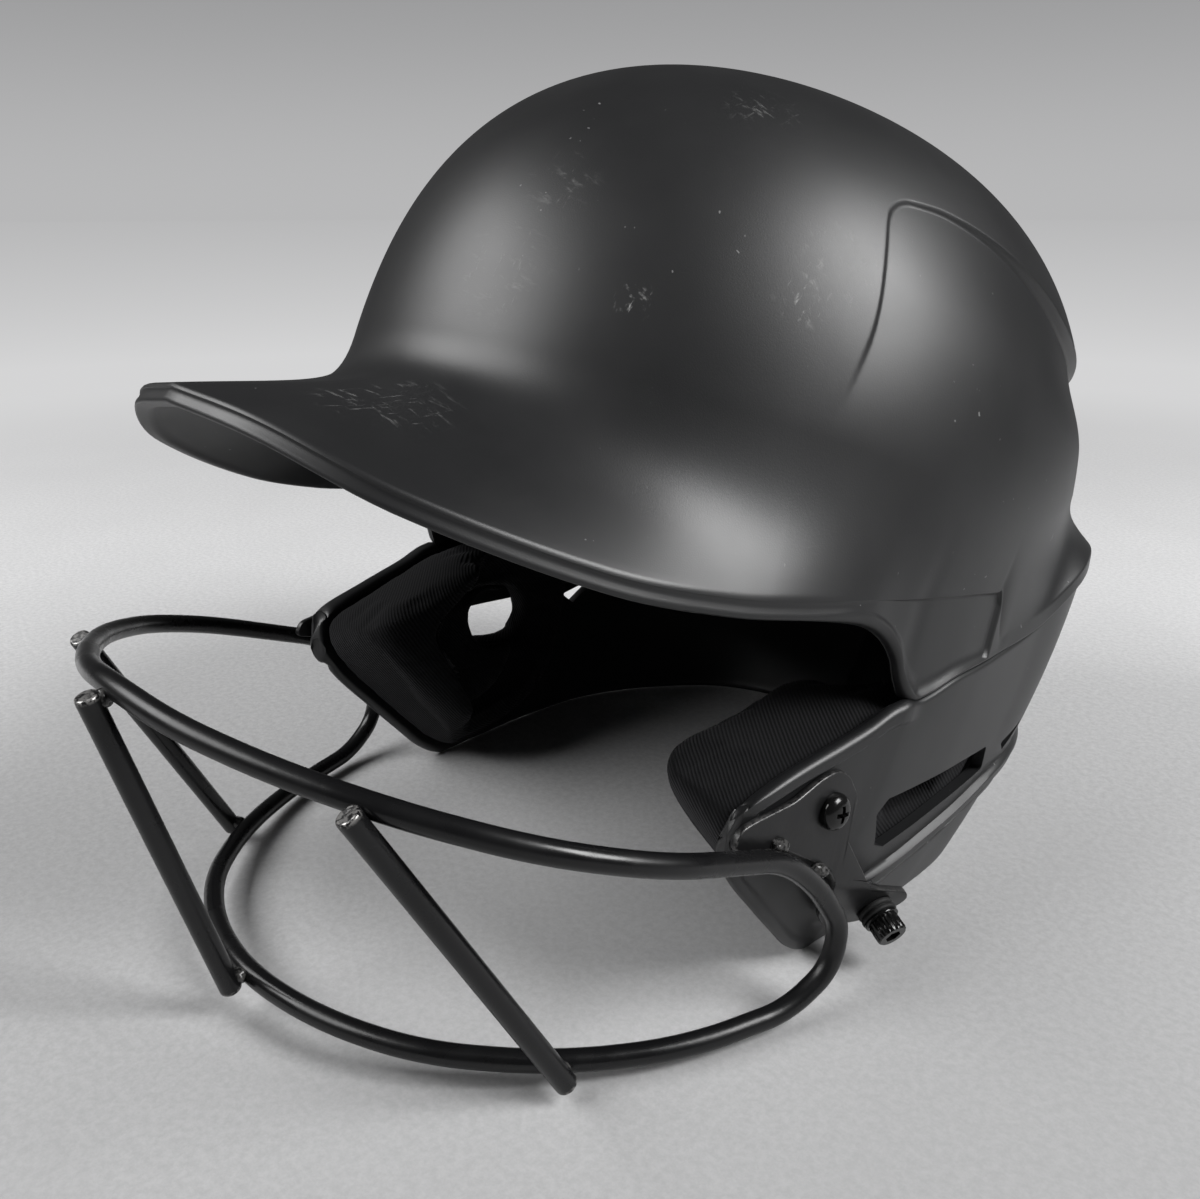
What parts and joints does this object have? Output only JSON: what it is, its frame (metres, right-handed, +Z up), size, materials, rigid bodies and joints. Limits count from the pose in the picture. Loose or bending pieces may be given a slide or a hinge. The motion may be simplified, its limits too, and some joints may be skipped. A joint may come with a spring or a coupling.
{
  "type": "softball batting helmet with face guard",
  "caption": "Hard-shell batting helmet with a brim, two jaw flaps, inner padding and a bent-wire face guard bolted to both sides.",
  "frame": {"origin": "centre of the box round the helmet as it stands on its bottom rim, on the floor", "axes": "+X to the wearer's left, -Y the way the face looks, +Z up from the floor"},
  "size_m": [0.2198, 0.3436, 0.2328],
  "materials": {
    "shell_plastic": "matte charcoal plastic with a fine moulded grain",
    "liner_foam": "black closed-cell foam",
    "pad_fabric": "black ribbed knit over foam",
    "guard_coating": "satin black coated steel wire and plate",
    "fastener_black": "gloss black screws and washers",
    "fastener_zinc": "plain zinc plated nuts",
    "bushing_rubber": "black rubber"
  },
  "bodies": {
    "root": {"upper_shell": "shell_plastic", "lower_shell": "shell_plastic", "foam_liner": "liner_foam", "front_pad": "pad_fabric", "crown_pad": "pad_fabric", "side_pad_left": "pad_fabric", "side_pad_right": "pad_fabric", "rear_pad": "pad_fabric", "jaw_pad_left": "pad_fabric", "jaw_pad_right": "pad_fabric", "ear_pad_left": "pad_fabric", "ear_pad_right": "pad_fabric", "guard_loop": "guard_coating", "guard_strut_center": "guard_coating", "guard_strut_left": "guard_coating", "guard_strut_right": "guard_coating", "side_plate_left": "guard_coating", "side_plate_right": "guard_coating", "weld_beads": "guard_coating", "upper_screws": "fastener_black", "upper_t_nuts": "fastener_zinc", "lower_bolts": "fastener_black", "bolt_washers": "fastener_black", "rubber_bushings": "bushing_rubber", "lower_t_nuts": "fastener_zinc"}
  },
  "joints": []
}
